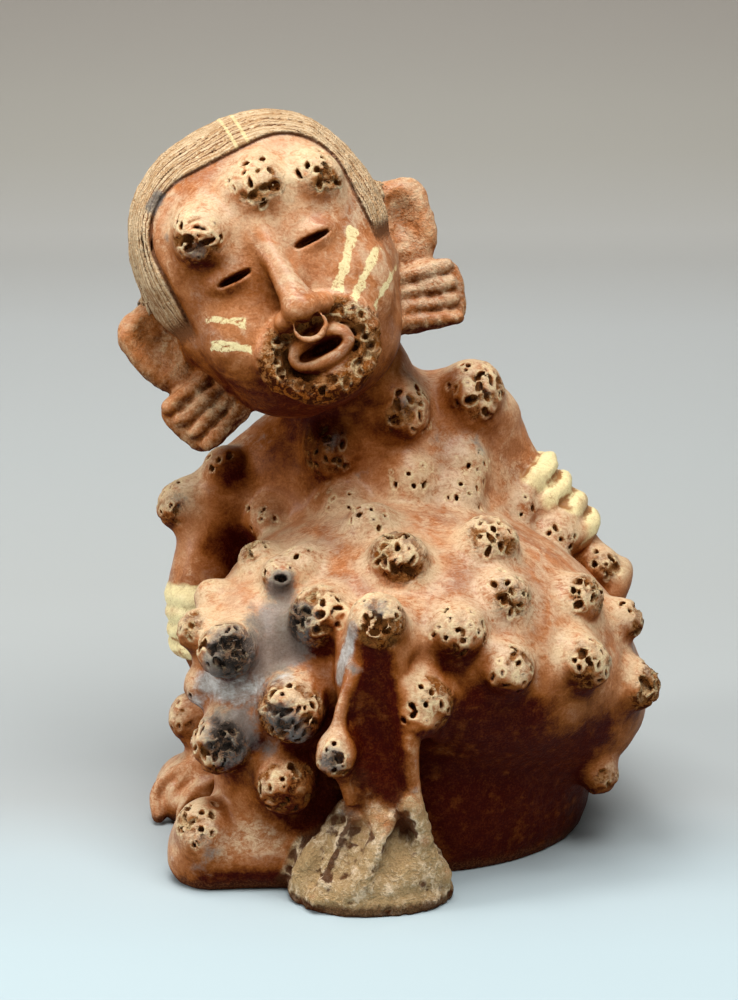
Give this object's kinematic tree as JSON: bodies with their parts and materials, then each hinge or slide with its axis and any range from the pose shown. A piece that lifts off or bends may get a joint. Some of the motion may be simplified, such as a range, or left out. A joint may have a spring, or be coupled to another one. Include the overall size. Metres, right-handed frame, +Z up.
{
  "type": "ceramic male figure",
  "caption": "Hand-built hollow clay figure of a squatting man, head tilted aside, covered in round pitted growths, with ear ornaments and yellow arm bands.",
  "frame": {"origin": "on the ground, under the middle of the figure's box", "axes": "+Z up; the figure faces -Y, its head leaning towards -X"},
  "size_m": [0.1744, 0.172, 0.2481],
  "materials": {
    "clay": "burnished red-brown slip, worn to buff on the growths, with dark fire clouds and yellow bands"
  },
  "bodies": {
    "root": {"figure": "clay"}
  },
  "joints": []
}
